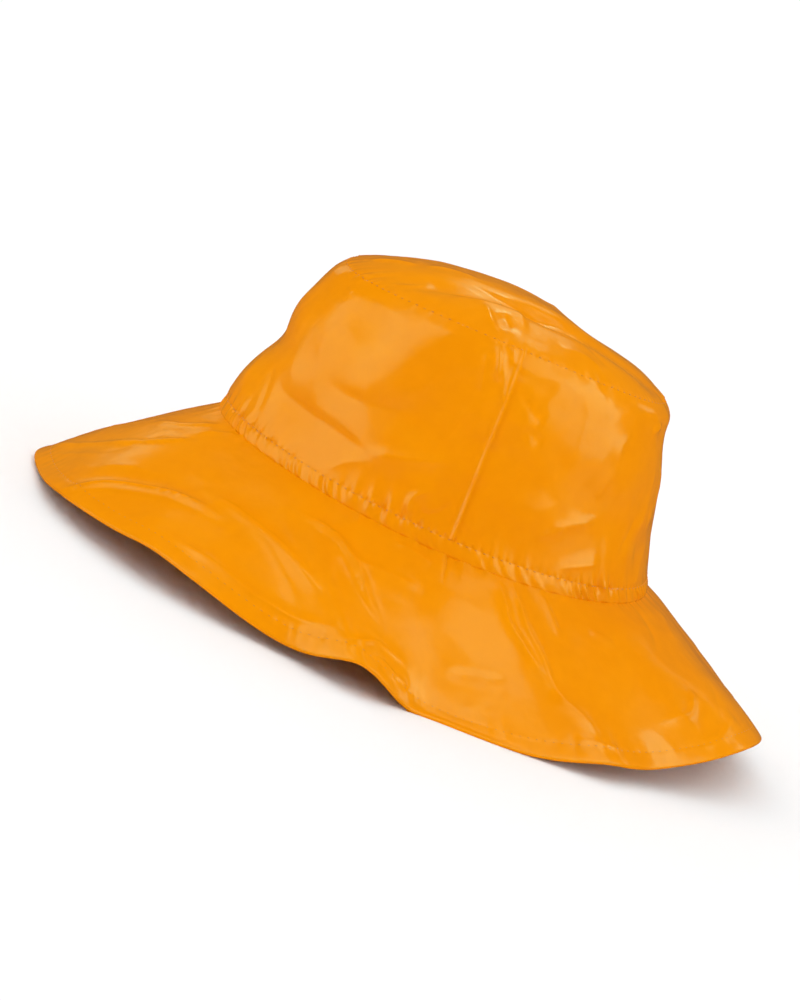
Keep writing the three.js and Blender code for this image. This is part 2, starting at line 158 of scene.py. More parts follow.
# Fine creases of the tip, in the same way, with their points in mm from the tip's middle.
TIP_FOLDS = (
    (-0.5, 3.0, 3.0, 1.5, ((14, -46), (17, -33), (20, -20), (24, -8), (21, 4), (22, 20), (38, 34), (34, 55))),
    (1.4, 1.8, 6.0, 1.3, ((33, -36), (34.5, -25), (35.5, -19), (34, -12.6), (35, -6), (41, -3), (50, -2))),
    (1.1, 1.4, 3.4, 1.1, ((38, -20), (44, -18), (49, -16.5), (56, -13))),
    (-0.8, 1.6, 3.0, 1.1, ((41, -12), (46, -10), (52, -8))),
    (0.8, 3.0, 4.0, 1.3, ((26, -40), (30, -48), (31, -58))),
    (0.8, 2.6, 4.0, 1.2, ((6, -46), (0, -56), (-2, -66))),
    (0.6, 3.0, 3.0, 1.4, ((10, -20), (4, -34), (6, -44))),
    (0.8, 3.0, 4.0, 1.3, ((48, 14), (44, 26), (46, 36))),
    (0.7, 3.0, 5.0, 1.3, ((-12, 10), (-30, 20), (-50, 18))),
    (-0.7, 3.0, 5.0, 1.3, ((-6, -30), (-24, -42), (-36, -48))),
)
# Creases at drawn places: how many, range of angles, range of along, mean slant of their lines in degrees,
# range of lengths in mm, usual height in mm, and seed.
CROWN_SCATTER = (
    (34, (45, 290), (0.14, 0.9), 20, (8, 34), 0.36, 11),
    (16, (-70, 45), (0.14, 0.9), 20, (6, 16), 0.12, 12),
)
BRIM_SCATTER = (
    (24, (45, 290), (-0.9, -0.1), 60, (10, 40), 0.35, 71),
    (26, (75, 290), (-0.75, -0.15), 75, (26, 60), 0.55, 72),
)
SLANT_SPREAD = 28.0  # degrees
BOW_SPREAD = 0.12  # of half a crease's length
DRAWN_DEGREE = 1.7  # one degree round the hat in mm, near enough for drawn creases
# Seeds of what else is drawn, so that each run gives the same hat.
SEEDS = {
    "crown crumple": 21, "band line": 31, "tip line": 32, "seam pull": 33, "band folds": 41, "band patches": 42,
    "tip crumple": 61, "brim crumple": 81, "hem puckers": 82, "brim puckers": 83,
}
# How strongly the cloth is crumpled.
CROWN_CRUMPLE, TIP_CRUMPLE, BRIM_CRUMPLE = 0.8, 0.3, 0.5
# How high the puckers along each seam are, against the pucker height, and how deep the needle holes, in mm.
BAND_PUCKERS, TIP_PUCKERS, HEM_PUCKERS, BRIM_PUCKERS, PULL_PUCKERS = 2.4, 1.2, 0.6, 0.9, 0.7
BAND_HOLES, TIP_HOLES, HEM_HOLES = 0.3, 0.25, 0.1
MEAN_BULGE = 0.64  # of the bulges between the holes, so that they neither raise nor sink the seam
PUCKER_REACH = 4.0  # mm from the stitches
PUCKER_SLANT = 0.12  # degrees for each mm

# Lengths in mm: round the hat's seams, for stitch counts, and from the base seam to the tip's along the cloth.
BASE_ROUND = 572.0
TIP_ROUND = 423.0
EDGE_ROUND = 985.0
WALL_RUN = 85.0
WALL_DEGREE, BRIM_DEGREE = 1.3, 2.1  # one degree round the hat at the middle of the side seams

HEM_WIDTH = 7.5
EDGE_RADIUS = 0.95
LAP_HEIGHT = 0.7  # how far the front panel's edge stands out at the side seams
# How far below the seam's line the stitches lie, and how deep the hem's and the others are sunk, in mm.
TIP_STITCHES_BELOW, BAND_STITCHES_BELOW = 0.5, 0.3
HEM_STITCHES_DEEP, STITCHES_DEEP = 0.16, 0.05
HEM_LAYER_GAP = 0.12  # between the brim and the cloth turned under it
HEM_LIFT = 0.9  # how far the turned-under cloth's inner edge lifts towards the brim
HEM_WAYS = (1.2, 2.6, 4.0, 5.4, 6.6, HEM_WIDTH, HEM_WIDTH + 0.5)  # the turned-under cloth's rows, from the edge
EDGE_TURNS = (170.0, 140.0, 110.0, 80.0, 50.0, 22.0, 0.0)  # degrees round the rolled edge, from underneath
BAND_ALLOWANCE = 0.8  # how far the band's lower edge reaches in under the brim
BAND_LEAN = 2.6  # degrees between the two ends of each of its folds

# Columns and rows of the pieces' meshes, and the sharpest edge in degrees that is still shaded smoothly.
PANEL_COLUMNS, PANEL_ROWS = 400, 88
TIP_COLUMNS, TIP_ROWS = 440, 78
BAND_COLUMNS, BAND_ROWS = 900, 9
HEM_COLUMNS = 720
SMOOTH_EDGE = 50.0
MAP_UNIT = 100.0  # one unit of the cloth's map in mm


class HatSizes(bpy.types.PropertyGroup):
    """Sizes of the cloth's fine work."""

    cloth_thickness: bpy.props.FloatProperty(
        name="Cloth thickness", description="One layer of coated cloth",
        default=0.0006, min=0.0002, max=0.002, precision=5, unit="LENGTH",
    )
    fold_height: bpy.props.FloatProperty(
        name="Fold height", description="How strongly the fine creases stand out",
        default=1.0, min=0.0, max=3.0, subtype="FACTOR",
    )
    pucker_height: bpy.props.FloatProperty(
        name="Pucker height", description="How far the cloth bulges between the stitches of a seam",
        default=0.0003, min=0.0, max=0.002, precision=5, unit="LENGTH",
    )
    stitch_pitch: bpy.props.FloatProperty(
        name="Stitch pitch", description="From one stitch to the next",
        default=0.0037, min=0.001, max=0.01, precision=5, unit="LENGTH",
    )
    stitch_length: bpy.props.FloatProperty(
        name="Stitch length", description="How long each visible stitch is",
        default=0.0014, min=0.0005, max=0.01, precision=5, unit="LENGTH",
    )
    thread_width: bpy.props.FloatProperty(
        name="Thread width", description="How thick the sewing thread is",
        default=0.0005, min=0.0001, max=0.002, precision=5, unit="LENGTH",
    )


class HatColours(bpy.types.PropertyGroup):
    """Colours and gloss of the hat and the floor."""

    cloth: bpy.props.FloatVectorProperty(
        name="Cloth", description="Coated cloth", subtype="COLOR", default=(0.88, 0.285, 0.0005), min=0, max=1,
    )
    # The thread's colour is darker than the cloth's partly as painted shade of the needle holes along the seams.
    thread: bpy.props.FloatVectorProperty(
        name="Thread", description="Sewing thread", subtype="COLOR", default=(0.7, 0.2, 0.002), min=0, max=1,
    )
    floor: bpy.props.FloatVectorProperty(
        name="Floor", description="Floor under the hat", subtype="COLOR", default=(0.95, 0.95, 0.95), min=0, max=1,
    )
    gloss_roughness: bpy.props.FloatProperty(
        name="Gloss roughness", description="Lower is shinier", default=0.2, min=0, max=1, subtype="FACTOR",
    )


# The hat's smooth outer face, in millimetres.


def bell(distance, spread):
    return np.exp(-((distance / spread) ** 2))


def turn_between(start, end):
    return (end - start + 180.0) % 360.0 - 180.0


def smoothstep(value, low, high):
    share = np.clip((value - low) / (high - low), 0.0, 1.0)
    return share * share * (3.0 - 2.0 * share)


def lerp(start, end, share):
    return start + (end - start) * share


def unit(vectors):
    return vectors / np.maximum(np.linalg.norm(vectors, axis=-1, keepdims=True), 1e-9)


def round_the_hat(rows, column):
    """A column of a table of places round the hat, as a smooth closed function of the angle."""
    places = np.array([row[0] for row in rows], float)
    values = np.array([row[column] for row in rows], float)
    steps = (np.roll(places, -1) - places) % 360.0
    slopes = (np.roll(values, -1) - np.roll(values, 1)) / (steps + np.roll(steps, 1))
    starts = np.cumsum(steps) - steps

    def at(angle):
        turned = (angle - places[0]) % 360.0
        here = np.searchsorted(starts, turned, side="right") - 1
        after = (here + 1) % len(rows)
        t = (turned - starts[here]) / steps[here]
        leave, arrive = slopes[here] * steps[here], slopes[after] * steps[here]
        return (
            values[here] * (2 * t**3 - 3 * t**2 + 1)
            + leave * (t**3 - 2 * t**2 + t)
            + values[after] * (3 * t**2 - 2 * t**3)
            + arrive * (t**3 - t**2)
        )

    return at


brim_seam_slope = round_the_hat(BRIM_SECTIONS, 1)
brim_edge_slope = round_the_hat(BRIM_SECTIONS, 2)
brim_share = round_the_hat(BRIM_SECTIONS, 3)


def spline(points, share):
    """Points on the smooth curve through a table of points, at shares of its run from 0 to 1."""
    points = np.array(points, float)
    last = len(points) - 1
    place = np.clip(share, 0.0, 1.0) * last
    here = np.minimum(place.astype(int), last)
    t = (place - here)[..., None]
    p0, p1 = points[np.maximum(here - 1, 0)], points[here]
    p2, p3 = points[np.minimum(here + 1, last)], points[np.minimum(here + 2, last)]
    leave, arrive = (p2 - p0) / 2, (p3 - p1) / 2
    return (2 * p1 - 2 * p2 + leave + arrive) * t**3 + (3 * p2 - 3 * p1 - 2 * leave - arrive) * t**2 + leave * t + p1


def oval(axes, egg, shift, angle, z):
    turn = np.radians(angle)
    x = (axes[0] + egg * np.sin(turn)) * np.cos(turn)
    y = shift + axes[1] * np.sin(turn)
    return np.stack([x, y, z + 0.0 * x], axis=-1)


def way_out(angle):
    turn = np.radians(angle)
    return unit(np.stack([np.cos(turn) / BASE_AXES[0], np.sin(turn) / BASE_AXES[1], 0.0 * turn], axis=-1))


def sideways(angle):
    return np.cos(2 * np.radians(angle))


def base_seam(angle):
    return oval(BASE_AXES, BASE_EGG, 0.0, angle, BASE_SEAM_Z - BASE_DIP * sideways(angle))


def tip_seam(angle):
    return oval(TIP_AXES, 0.0, TIP_SHIFT, angle, BASE_SEAM_Z + CROWN_HEIGHT + TIP_ARCH * sideways(angle))


def brim_point(angle, share):
    start = np.radians(brim_seam_slope(angle))
    slope = lerp(start, np.radians(brim_edge_slope(angle)), share)
    middle = (start + slope) / 2
    chord = BRIM_WIDTH * brim_share(angle) * share * np.cos((slope - start) / 2)
    lift = 0.0
    for seam_at, edge_at, spread, height in BRIM_FOLDS:
        centre = lerp(seam_at, edge_at, share)
        lift = lift + height * bell(turn_between(centre, angle), spread) * np.maximum(share, 0.0) ** 1.5
    lift = lift * BRIM_WIDTH
    point = base_seam(angle) + way_out(angle) * (chord * np.cos(middle) + lift * np.sin(slope))[..., None]
    z = point[..., 2] + lift * np.cos(slope) - chord * np.sin(middle)
    above = z - EDGE_THICKNESS
    rested = EDGE_THICKNESS + (above + np.hypot(above, REST_SOFTNESS)) / 2
    point[..., 2] = lerp(z, rested, smoothstep(share, 0.4, 0.9))
    return point


def wall_point(angle, share):
    outline = spline(CROWN_PROFILE, share)
    inward, up = outline[..., 0], outline[..., 1]
    base, tip = base_seam(angle), tip_seam(angle)
    depth = 0.0
    for at, middle, wide, tall, deep in CROWN_DENTS:
        depth = depth + deep * bell(turn_between(at, angle), wide) * bell(up - middle, tall)
    free = smoothstep(up, 0.0, 0.12) * (1.0 - smoothstep(up, 0.85, 1.0))
    point = lerp(base, tip, inward[..., None])
    point[..., 2] = lerp(base[..., 2], tip[..., 2], up)
    return point - way_out(angle) * (depth * free * CROWN_HEIGHT)[..., None]


def tip_point(angle, share):
    turn = np.radians(angle)
    x, y = share * np.cos(turn), share * np.sin(turn)
    fall = share**TIP_PUFF
    for from_x, from_y, to_x, to_y, spread, depth in TIP_CREASES:
        run_x, run_y = to_x - from_x, to_y - from_y
        along = ((x - from_x) * run_x + (y - from_y) * run_y) / (run_x**2 + run_y**2)
        along = np.clip(along, 0.0, 1.0)
        away = np.hypot(x - from_x - run_x * along, y - from_y - run_y * along)
        fall = fall + depth * bell(away, spread) * (1.0 - share**4)
    point = oval(TIP_AXES, 0.0, TIP_SHIFT, angle, BASE_SEAM_Z + CROWN_HEIGHT)
    point = lerp(np.array([0.0, TIP_SHIFT, BASE_SEAM_Z + CROWN_HEIGHT]), point, share[..., None])
    point[..., 2] += TIP_ARCH * sideways(angle) * share**2 + TIP_RISE * (1.0 - fall)
    return point


def outer_face(angle, along):
    """The smooth outer face. along: brim's edge -1, base seam 0, tip's seam 1, tip's middle 2."""
    angle, along = np.broadcast_arrays(np.asarray(angle, float), np.asarray(along, float))
    brim = brim_point(angle, np.maximum(-along, 0.0))
    wall = wall_point(angle, np.clip(along, 0.0, 1.0))
    tip = tip_point(angle, np.clip(2.0 - along, 0.0, 1.0))
    return np.where((along < 0)[..., None], brim, np.where((along < 1)[..., None], wall, tip)) + SHIFT


def face_normal(angle, along, turn=0.3, step=0.006):
    across = outer_face(angle + turn, along) - outer_face(angle - turn, along)
    inward = outer_face(angle, along + step) - outer_face(angle, along - step)
    return unit(np.cross(across, inward))


# Small relief of the cloth: how far it stands out from the smooth face, in millimetres.

BENDS = 4  # straight runs between two points of a crease's line


def crease_relief(across, up, across_mm, up_mm, folds):
    """The sum of crease lines. across_mm and up_mm turn the places' own units into millimetres."""
    relief = np.zeros(np.broadcast(across, up).shape)
    for height, left, right, sharpness, line in folds:
        count = (len(line) - 1) * BENDS
        path = spline(line, np.linspace(0.0, 1.0, count + 1))
        nearest = np.full(relief.shape, np.inf)
        side = np.zeros(relief.shape)
        run = np.zeros(relief.shape)
        for i, (start, end) in enumerate(zip(path[:-1], path[1:])):
            x, y = turn_between(start[0], across) * across_mm, (up - start[1]) * up_mm
            dx, dy = (end[0] - start[0]) * across_mm, (end[1] - start[1]) * up_mm
            t = np.clip((x * dx + y * dy) / (dx * dx + dy * dy + 1e-9), 0.0, 1.0)
            away = np.hypot(x - t * dx, y - t * dy)
            closer = away < nearest
            nearest = np.where(closer, away, nearest)
            side = np.where(closer, dx * y - dy * x, side)
            run = np.where(closer, (i + t) / count, run)
        width = np.where(side > 0, left, right)
        fade = smoothstep(run, 0.0, 0.3) * (1.0 - smoothstep(run, 0.7, 1.0))
        relief += height * fade * np.exp(-((nearest / width) ** sharpness))
    return relief


def scattered_creases(rows):
    """Creases at the drawn places of a table, as rows like those of the fine creases."""
    folds = []
    for count, across_range, up_range, slant, length, height, seed in rows:
        draw = np.random.default_rng(seed)
        for _ in range(count):
            at, up = draw.uniform(*across_range), draw.uniform(*up_range)
            turn = math.radians(draw.normal(slant, SLANT_SPREAD))
            long = draw.uniform(*length) / 2
            bow = draw.normal(0.0, BOW_SPREAD) * long
            run_x, run_y = math.cos(turn) * long / DRAWN_DEGREE, math.sin(turn) * long / CROWN_HEIGHT
            bow_x, bow_y = -math.sin(turn) * bow / DRAWN_DEGREE, math.cos(turn) * bow / CROWN_HEIGHT
            narrow = draw.uniform(1.2, 2.6)
            line = ((at - run_x, up - run_y), (at + bow_x, up + bow_y), (at + run_x, up + run_y))
            folds.append((draw.normal(0.0, height), narrow, narrow * draw.uniform(1.0, 2.6), 1.25, line))
    return tuple(folds)


def rumple(points, wavelength, seed, waves=16):
    """A smooth field of drawn waves through space, about 1 in size."""
    draw = np.random.default_rng(seed)
    ways = unit(draw.normal(size=(waves, 3))) * (2 * math.pi / wavelength) * draw.uniform(0.6, 1.5, (waves, 1))
    starts = draw.uniform(0.0, 2 * math.pi, waves)
    return np.sin(points @ ways.T + starts).sum(axis=-1) * math.sqrt(2.0 / waves)


def crumple(points, seed):
    """Soft waves with a few crisp ridges, as in a coated cloth that has been folded."""
    crisp = np.abs(rumple(points, 34.0, seed + 1)) - 0.8
    fine = np.abs(rumple(points, 13.0, seed + 2)) - 0.8
    calm = smoothstep(rumple(points, 60.0, seed + 3), -0.8, 1.0)
    return 0.45 * rumple(points, 46.0, seed) - 0.28 * crisp - 0.07 * fine * calm


def gathers(angle, fewest, most, seed, waves=10):
    """A drawn wave that closes on itself round the hat, about 1 in size."""
    draw = np.random.default_rng(seed)
    counts = draw.integers(fewest, most, waves)
    starts = draw.uniform(0.0, 2 * math.pi, waves)
    turn = np.radians(angle)[..., None]
    return np.sin(turn * counts + starts).sum(axis=-1) * math.sqrt(2.0 / waves)


def between_holes(angle, count):
    """Bulges under a line of stitches: 0 at each needle hole and 1 midway between two."""
    return np.abs(np.sin(np.radians(angle) * count / 2))


def seam_puckers(angle, distance, count, reach, seed, slant=0.0):
    """Puckers that fade out from a seam. distance is in millimetres, slant in degrees for each of them."""
    turned = angle + slant * distance
    away = np.abs(distance)
    bulge = between_holes(turned, count) - MEAN_BULGE
    gather = gathers(turned, count // 4, count // 2 + 8, seed)
    patchy = 0.6 + 0.4 * gathers(angle, 3, 14, seed + 1)
    return (bulge * np.exp(-away / (0.5 * reach)) + 0.55 * gather * np.exp(-away / reach)) * patchy


def needle_holes(angle, distance, count):
    """A small pit at each needle hole of a line of stitches."""
    return np.exp(-((np.sin(np.radians(angle) * count / 2) / 0.5) ** 2)) * bell(distance, 0.8)


def pucker_mm():
    return bpy.context.scene.hat_sizes.pucker_height / MM


def stitch_count(round_mm):
    return int(round(round_mm * MM / bpy.context.scene.hat_sizes.stitch_pitch))


def band_line(angle, above):
    """The cloth along the stitches above the band, the same on both sides of them."""
    count = stitch_count(BASE_ROUND)
    puckers = seam_puckers(angle, above, count, PUCKER_REACH, SEEDS["band line"], PUCKER_SLANT)
    return pucker_mm() * BAND_PUCKERS * puckers - BAND_HOLES * needle_holes(angle, above, count)


def tip_line(angle, above):
    """The cloth along the tip's seam, the same on both sides of it."""
    count = stitch_count(TIP_ROUND)
    puckers = pucker_mm() * TIP_PUCKERS * seam_puckers(angle, above, count, PUCKER_REACH, SEEDS["tip line"])
    groove = 0.15 * np.exp(-np.abs(above) / 0.8)
    return puckers - TIP_HOLES * needle_holes(angle, above, count) - groove


def degree_mm(along):
    """How long one degree round the hat is, in millimetres."""
    wall = lerp(BASE_ROUND, TIP_ROUND, np.clip(along, 0.0, 1.0))
    return np.where(along < 0, lerp(BASE_ROUND, EDGE_ROUND, np.clip(-along, 0.0, 1.0)), wall) / 360.0


def beside_side_seam(angle, along):
    """How far the nearer side seam is along the cloth, in millimetres."""
    return np.minimum(np.abs(turn_between(0.0, angle)), np.abs(turn_between(180.0, angle))) * degree_mm(along)


def crown_relief(angle, along, points):
    over_band = (along - BAND_END) * WALL_RUN
    under_tip = (1.0 - along) * WALL_RUN
    creases = CROWN_FOLDS + scattered_creases(CROWN_SCATTER)
    folds = crease_relief(angle, along, degree_mm(along), WALL_RUN, creases)
    free = smoothstep(over_band, 0.0, 3.0) * smoothstep(under_tip, 0.0, 1.5)
    calm = smoothstep(over_band, 0.0, 14.0) * smoothstep(under_tip, 0.0, 12.0)
    crumples = CROWN_CRUMPLE * crumple(points, SEEDS["crown crumple"])
    relief = bpy.context.scene.hat_sizes.fold_height * (folds * free + crumples * calm)
    relief += band_line(angle, over_band) + tip_line(angle, -under_tip)
    # Beside the side seams the cloth is pulled into short folds.
    pull = rumple(points * np.array([1.0, 0.25, 1.0]), 9.0, SEEDS["seam pull"])
    pull = pull * np.exp(-beside_side_seam(angle, along) / 6.0)
    return relief + pucker_mm() * PULL_PUCKERS * pull * free


def front_lap(angle, along):
    """The front panel's edge lies on the back panel's along both side seams."""
    beside = beside_side_seam(angle, along)
    top = 1.0 - smoothstep(beside, 0.6, 2.2)
    groove = 0.15 * bell(beside - 2.8, 0.8)
    return LAP_HEIGHT * top - groove


def tip_relief(angle, along, points):
    x, y = points[..., 0] - SHIFT[0], points[..., 1] - SHIFT[1] - TIP_SHIFT
    inside = (along - 1.0) * TIP_AXES[0]
    folds = crease_relief(x, y, 1.0, 1.0, TIP_FOLDS)
    free, calm = smoothstep(inside, 0.0, 3.0), smoothstep(inside, 0.0, 10.0)
    crumples = TIP_CRUMPLE * crumple(points, SEEDS["tip crumple"])
    return bpy.context.scene.hat_sizes.fold_height * (folds * free + crumples * calm) + tip_line(angle, inside)


def band_relief(angle, along, points):
    """The band is a narrow channel whose folds lean, since its two edges are sewn a little out of step."""
    share = np.clip(along / BAND_END, 0.0, 1.0)
    fold = gathers(angle + BAND_LEAN * (share - 0.5), 60, 150, SEEDS["band folds"])
    patchy = 0.5 + 0.5 * gathers(angle, 4, 18, SEEDS["band patches"])
    middle = np.sin(np.pi * np.clip(share * 0.9 + 0.1, 0.0, 1.0))
    relief = band_line(angle, (along - BAND_END) * WALL_RUN)
    relief += 0.35 * middle + pucker_mm() * 1.2 * fold * patchy * middle
    return relief + 0.2 * np.exp(-share * BAND_HEIGHT / 1.5)


def brim_relief(angle, along, points):
    from_seam, from_edge = -along * BRIM_WIDTH, (1.0 + along) * BRIM_WIDTH
    creases = BRIM_CREASES + scattered_creases(BRIM_SCATTER)
    folds = crease_relief(angle, along, degree_mm(along), BRIM_WIDTH, creases)
    free = smoothstep(from_seam, 0.0, 2.0) * (0.4 + 0.6 * smoothstep(from_edge, 0.0, 8.0))
    calm = smoothstep(from_seam, 0.0, 10.0) * (0.2 + 0.8 * smoothstep(from_edge, 0.0, 8.0))
    crumples = BRIM_CRUMPLE * crumple(points, SEEDS["brim crumple"])
    relief = bpy.context.scene.hat_sizes.fold_height * (folds * free + crumples * calm)
    # The hem's stitches, in a slight groove.
    count, from_hem = stitch_count(EDGE_ROUND), from_edge - HEM_WIDTH
    puckers = seam_puckers(angle, from_hem, count, PUCKER_REACH, SEEDS["hem puckers"], PUCKER_SLANT)
    relief += pucker_mm() * HEM_PUCKERS * puckers
    relief -= 0.05 * bell(from_hem, 0.7) + HEM_HOLES * needle_holes(angle, from_hem, count)
    # The base seam, and the side seams' grooves, which fade out towards the edge.
    puckers = seam_puckers(angle, from_seam, stitch_count(BASE_ROUND), 5.0, SEEDS["brim puckers"])
    relief += pucker_mm() * BRIM_PUCKERS * puckers
    relief -= 0.3 * np.exp(-beside_side_seam(angle, along) / 0.6) * (1.0 - smoothstep(from_seam, 9.0, 18.0))
    edge_fall = 0.15 * (1.0 - smoothstep(from_edge, 0.0, 3.0))
    return relief - edge_fall


def crown_share_at(up):
    """The share along the crown's wall at which its outline has risen to a share of the crown's height."""
    low, high = 0.0, 1.0
    for _ in range(40):
        middle = (low + high) / 2
        if spline(CROWN_PROFILE, np.array(middle))[1] < up:
            low = middle
        else:
            high = middle
    return low


BAND_END = crown_share_at(BAND_HEIGHT / CROWN_HEIGHT)

# How the border of a piece turns in at a seam: how far from the seam along the cloth, then how deep, in mm.
SEAM_TURN = ((0.004, 0.5), (0.006, 0.0), (0.3, 0.0))
CROWDING = 0.55  # how much closer the steps are towards a piece's ends: 0 is even


def border_steps(start, end, count, unit_mm):
    """Even steps with closer ones towards both ends: the places and how deep the turned-in border is sunk."""
    away = np.array([a for a, _ in SEAM_TURN]) / unit_mm
    deep = np.array([d for _, d in SEAM_TURN])
    run = np.linspace(0.0, 1.0, count)
    run = run - CROWDING * np.sin(2 * math.pi * run) / (2 * math.pi)
    middle = lerp(start + away[-1], end - away[-1], run)[1:-1]
    places = np.concatenate([start + away, middle, (end - away)[::-1]])
    return places, np.concatenate([deep, np.zeros(len(middle)), deep[::-1]])


def cloth_corners(angles, alongs, relief, sunk=0.0):
    """Corners of a piece's outer side, lying the relief's height off the smooth face."""
    angle, along = np.meshgrid(angles, alongs, indexing="ij")
    points = outer_face(angle, along)
    height = relief(angle, along, points) - sunk
    return points + face_normal(angle, along) * height[..., None]


def grid_normals(points, closed):
    if closed:
        across = np.roll(points, -1, axis=0) - np.roll(points, 1, axis=0)
    else:
        across = np.gradient(points, axis=0)
    return unit(np.cross(across, np.gradient(points, axis=1)))


def add_object(name, data):
    added = bpy.data.objects.new(name, data)
    bpy.context.scene.collection.objects.link(added)
    return added


def add_piece(name, points, polygons, finish):
    """An object of one mesh from corners in millimetres, which rides on the hat."""
    mesh = bpy.data.meshes.new(name)
    mesh.from_pydata((points * MM).tolist(), [], polygons)
    mesh.shade_smooth()
    mesh.materials.append(finish)
    piece = add_object(name, mesh)
    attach(piece, "root")
    return piece


def all_round(count):
    """Even angles all round the hat."""
    return np.linspace(0.0, 360.0, count + 1)[:-1]


def sewn_piece(name, corners, closed=False, pole=False):
    """A closed wall of cloth from the corners of its outer side, as an object of one mesh."""
    thickness = bpy.context.scene.hat_sizes.cloth_thickness / MM
    inner_side = corners - grid_normals(corners, closed) * thickness
    wide, tall = corners.shape[:2]
    points = np.concatenate([corners.reshape(-1, 3), inner_side.reshape(-1, 3)])
    points[:, 2] = np.maximum(points[:, 2], 0.0)

    i, j = np.meshgrid(np.arange(wide if closed else wide - 1), np.arange(tall - 1), indexing="ij")
    i, j = i.ravel(), j.ravel()
    inner = wide * tall

    def corner(column, row, side=0):
        return side * inner + (column % wide) * tall + row

    faces = [
        np.stack([corner(i, j), corner(i + 1, j), corner(i + 1, j + 1), corner(i, j + 1)], axis=1),
        np.stack([corner(i, j, 1), corner(i, j + 1, 1), corner(i + 1, j + 1, 1), corner(i + 1, j, 1)], axis=1),
    ]
    k = np.arange(wide if closed else wide - 1)
    faces.append(np.stack([corner(k, 0, 1), corner(k + 1, 0, 1), corner(k + 1, 0), corner(k, 0)], axis=1))
    last = tall - 1
    triangles = []
    if pole:
        # The rows end on a small ring, which two fans close.
        middle = len(points)
        centres = [corners[:, last].mean(axis=0), inner_side[:, last].mean(axis=0)]
        points = np.concatenate([points, np.array(centres)])
        outer_fan = np.stack([corner(k, last), corner(k + 1, last), np.full(len(k), middle)], axis=1)
        inner_fan = np.stack([corner(k + 1, last, 1), corner(k, last, 1), np.full(len(k), middle + 1)], axis=1)
        triangles = [outer_fan, inner_fan]
    else:
        faces.append(
            np.stack([corner(k, last), corner(k + 1, last), corner(k + 1, last, 1), corner(k, last, 1)], axis=1)
        )
    if not closed:
        m, end = np.arange(tall - 1), wide - 1
        faces.append(np.stack([corner(0, m), corner(0, m + 1), corner(0, m + 1, 1), corner(0, m, 1)], axis=1))
        faces.append(
            np.stack([corner(end, m, 1), corner(end, m + 1, 1), corner(end, m + 1), corner(end, m)], axis=1)
        )
    polygons = [face for part in faces + triangles for face in part.tolist()]
    piece = add_piece(name, points, polygons, cloth_finish())
    lay_cloth_map(piece.data, corners, closed)
    piece.data.set_sharp_from_angle(angle=math.radians(SMOOTH_EDGE))
    return piece


def lay_cloth_map(mesh, corners, closed):
    """A map of the cloth along its own two ways, for patterns that follow it. One unit is MAP_UNIT mm."""
    wide, tall = corners.shape[:2]
    middle_row = corners[:, tall // 2]
    steps = np.linalg.norm(np.diff(middle_row, axis=0), axis=-1)
    across = np.concatenate([[0.0], np.cumsum(steps)])
    whole = across[-1] + np.linalg.norm(middle_row[0] - middle_row[-1])
    rises = np.linalg.norm(np.diff(corners[wide // 2], axis=0), axis=-1)
    up = np.concatenate([[0.0], np.cumsum(rises)])
    count = len(mesh.vertices)
    u, v = np.zeros(count), np.zeros(count)
    u[: 2 * wide * tall] = np.tile(np.repeat(across, tall), 2)
    v[: 2 * wide * tall] = np.tile(np.tile(up, wide), 2)
    v[2 * wide * tall :] = up[-1]
    loops = np.empty(len(mesh.loops), int)
    mesh.loops.foreach_get("vertex_index", loops)
    loop_u, loop_v = u[loops], v[loops]
    if closed:
        starts = np.empty(len(mesh.polygons), int)
        totals = np.empty(len(mesh.polygons), int)
        mesh.polygons.foreach_get("loop_start", starts)
        mesh.polygons.foreach_get("loop_total", totals)
        owner = np.repeat(np.arange(len(starts)), totals)
        highest = np.full(len(starts), -1e9)
        np.maximum.at(highest, owner, loop_u)
        wraps = (highest[owner] > 0.75 * whole) & (loop_u < 0.25 * whole)
        loop_u = np.where(wraps, loop_u + whole, loop_u)
    layer = mesh.uv_layers.new(name="cloth")
    layer.data.foreach_set("uv", (np.stack([loop_u, loop_v], axis=1) / MAP_UNIT).astype(np.float32).ravel())


def crown_panel(name, start, lapped):
    angles, side_sunk = border_steps(start, start + 180.0, PANEL_COLUMNS, WALL_DEGREE)
    alongs, row_sunk = border_steps(BAND_END, 1.0, PANEL_ROWS, WALL_RUN)

    def relief(angle, along, points):
        height = crown_relief(angle, along, points)
        return height + front_lap(angle, along) if lapped else height

    return sewn_piece(name, cloth_corners(angles, alongs, relief, side_sunk[:, None] + row_sunk[None, :]))


def brim_corners(start):
    """The brim's panel from the base seam out to the edge, and round the edge to its underside."""
    angles, side_sunk = border_steps(start, start + 180.0, PANEL_COLUMNS, BRIM_DEGREE)
    alongs, row_sunk = border_steps(-1.0 + EDGE_RADIUS / BRIM_WIDTH, 0.0, PANEL_ROWS, BRIM_WIDTH)
    keep = slice(len(SEAM_TURN), None)
    top = cloth_corners(angles, alongs[keep], brim_relief, side_sunk[:, None] + row_sunk[None, keep])
    rolled = [edge_roll(angles, turn, side_sunk) for turn in EDGE_TURNS]
    return np.concatenate([np.stack(rolled, axis=1), top], axis=1)


def edge_roll(angles, turn, sunk):
    """A line along the brim's rolled edge: 0 degrees is on top, 90 outermost and 180 underneath."""
    along = np.full(angles.shape, -1.0 + EDGE_RADIUS / BRIM_WIDTH)
    points = outer_face(angles, along)
    normal = face_normal(angles, along)
    outward = unit(outer_face(angles, along - 0.01) - outer_face(angles, along + 0.01))
    top = points + normal * (brim_relief(angles, along, points) - sunk)[..., None]
    turned = math.radians(turn)
    return top + EDGE_RADIUS * (normal * (math.cos(turned) - 1.0) + outward * math.sin(turned))


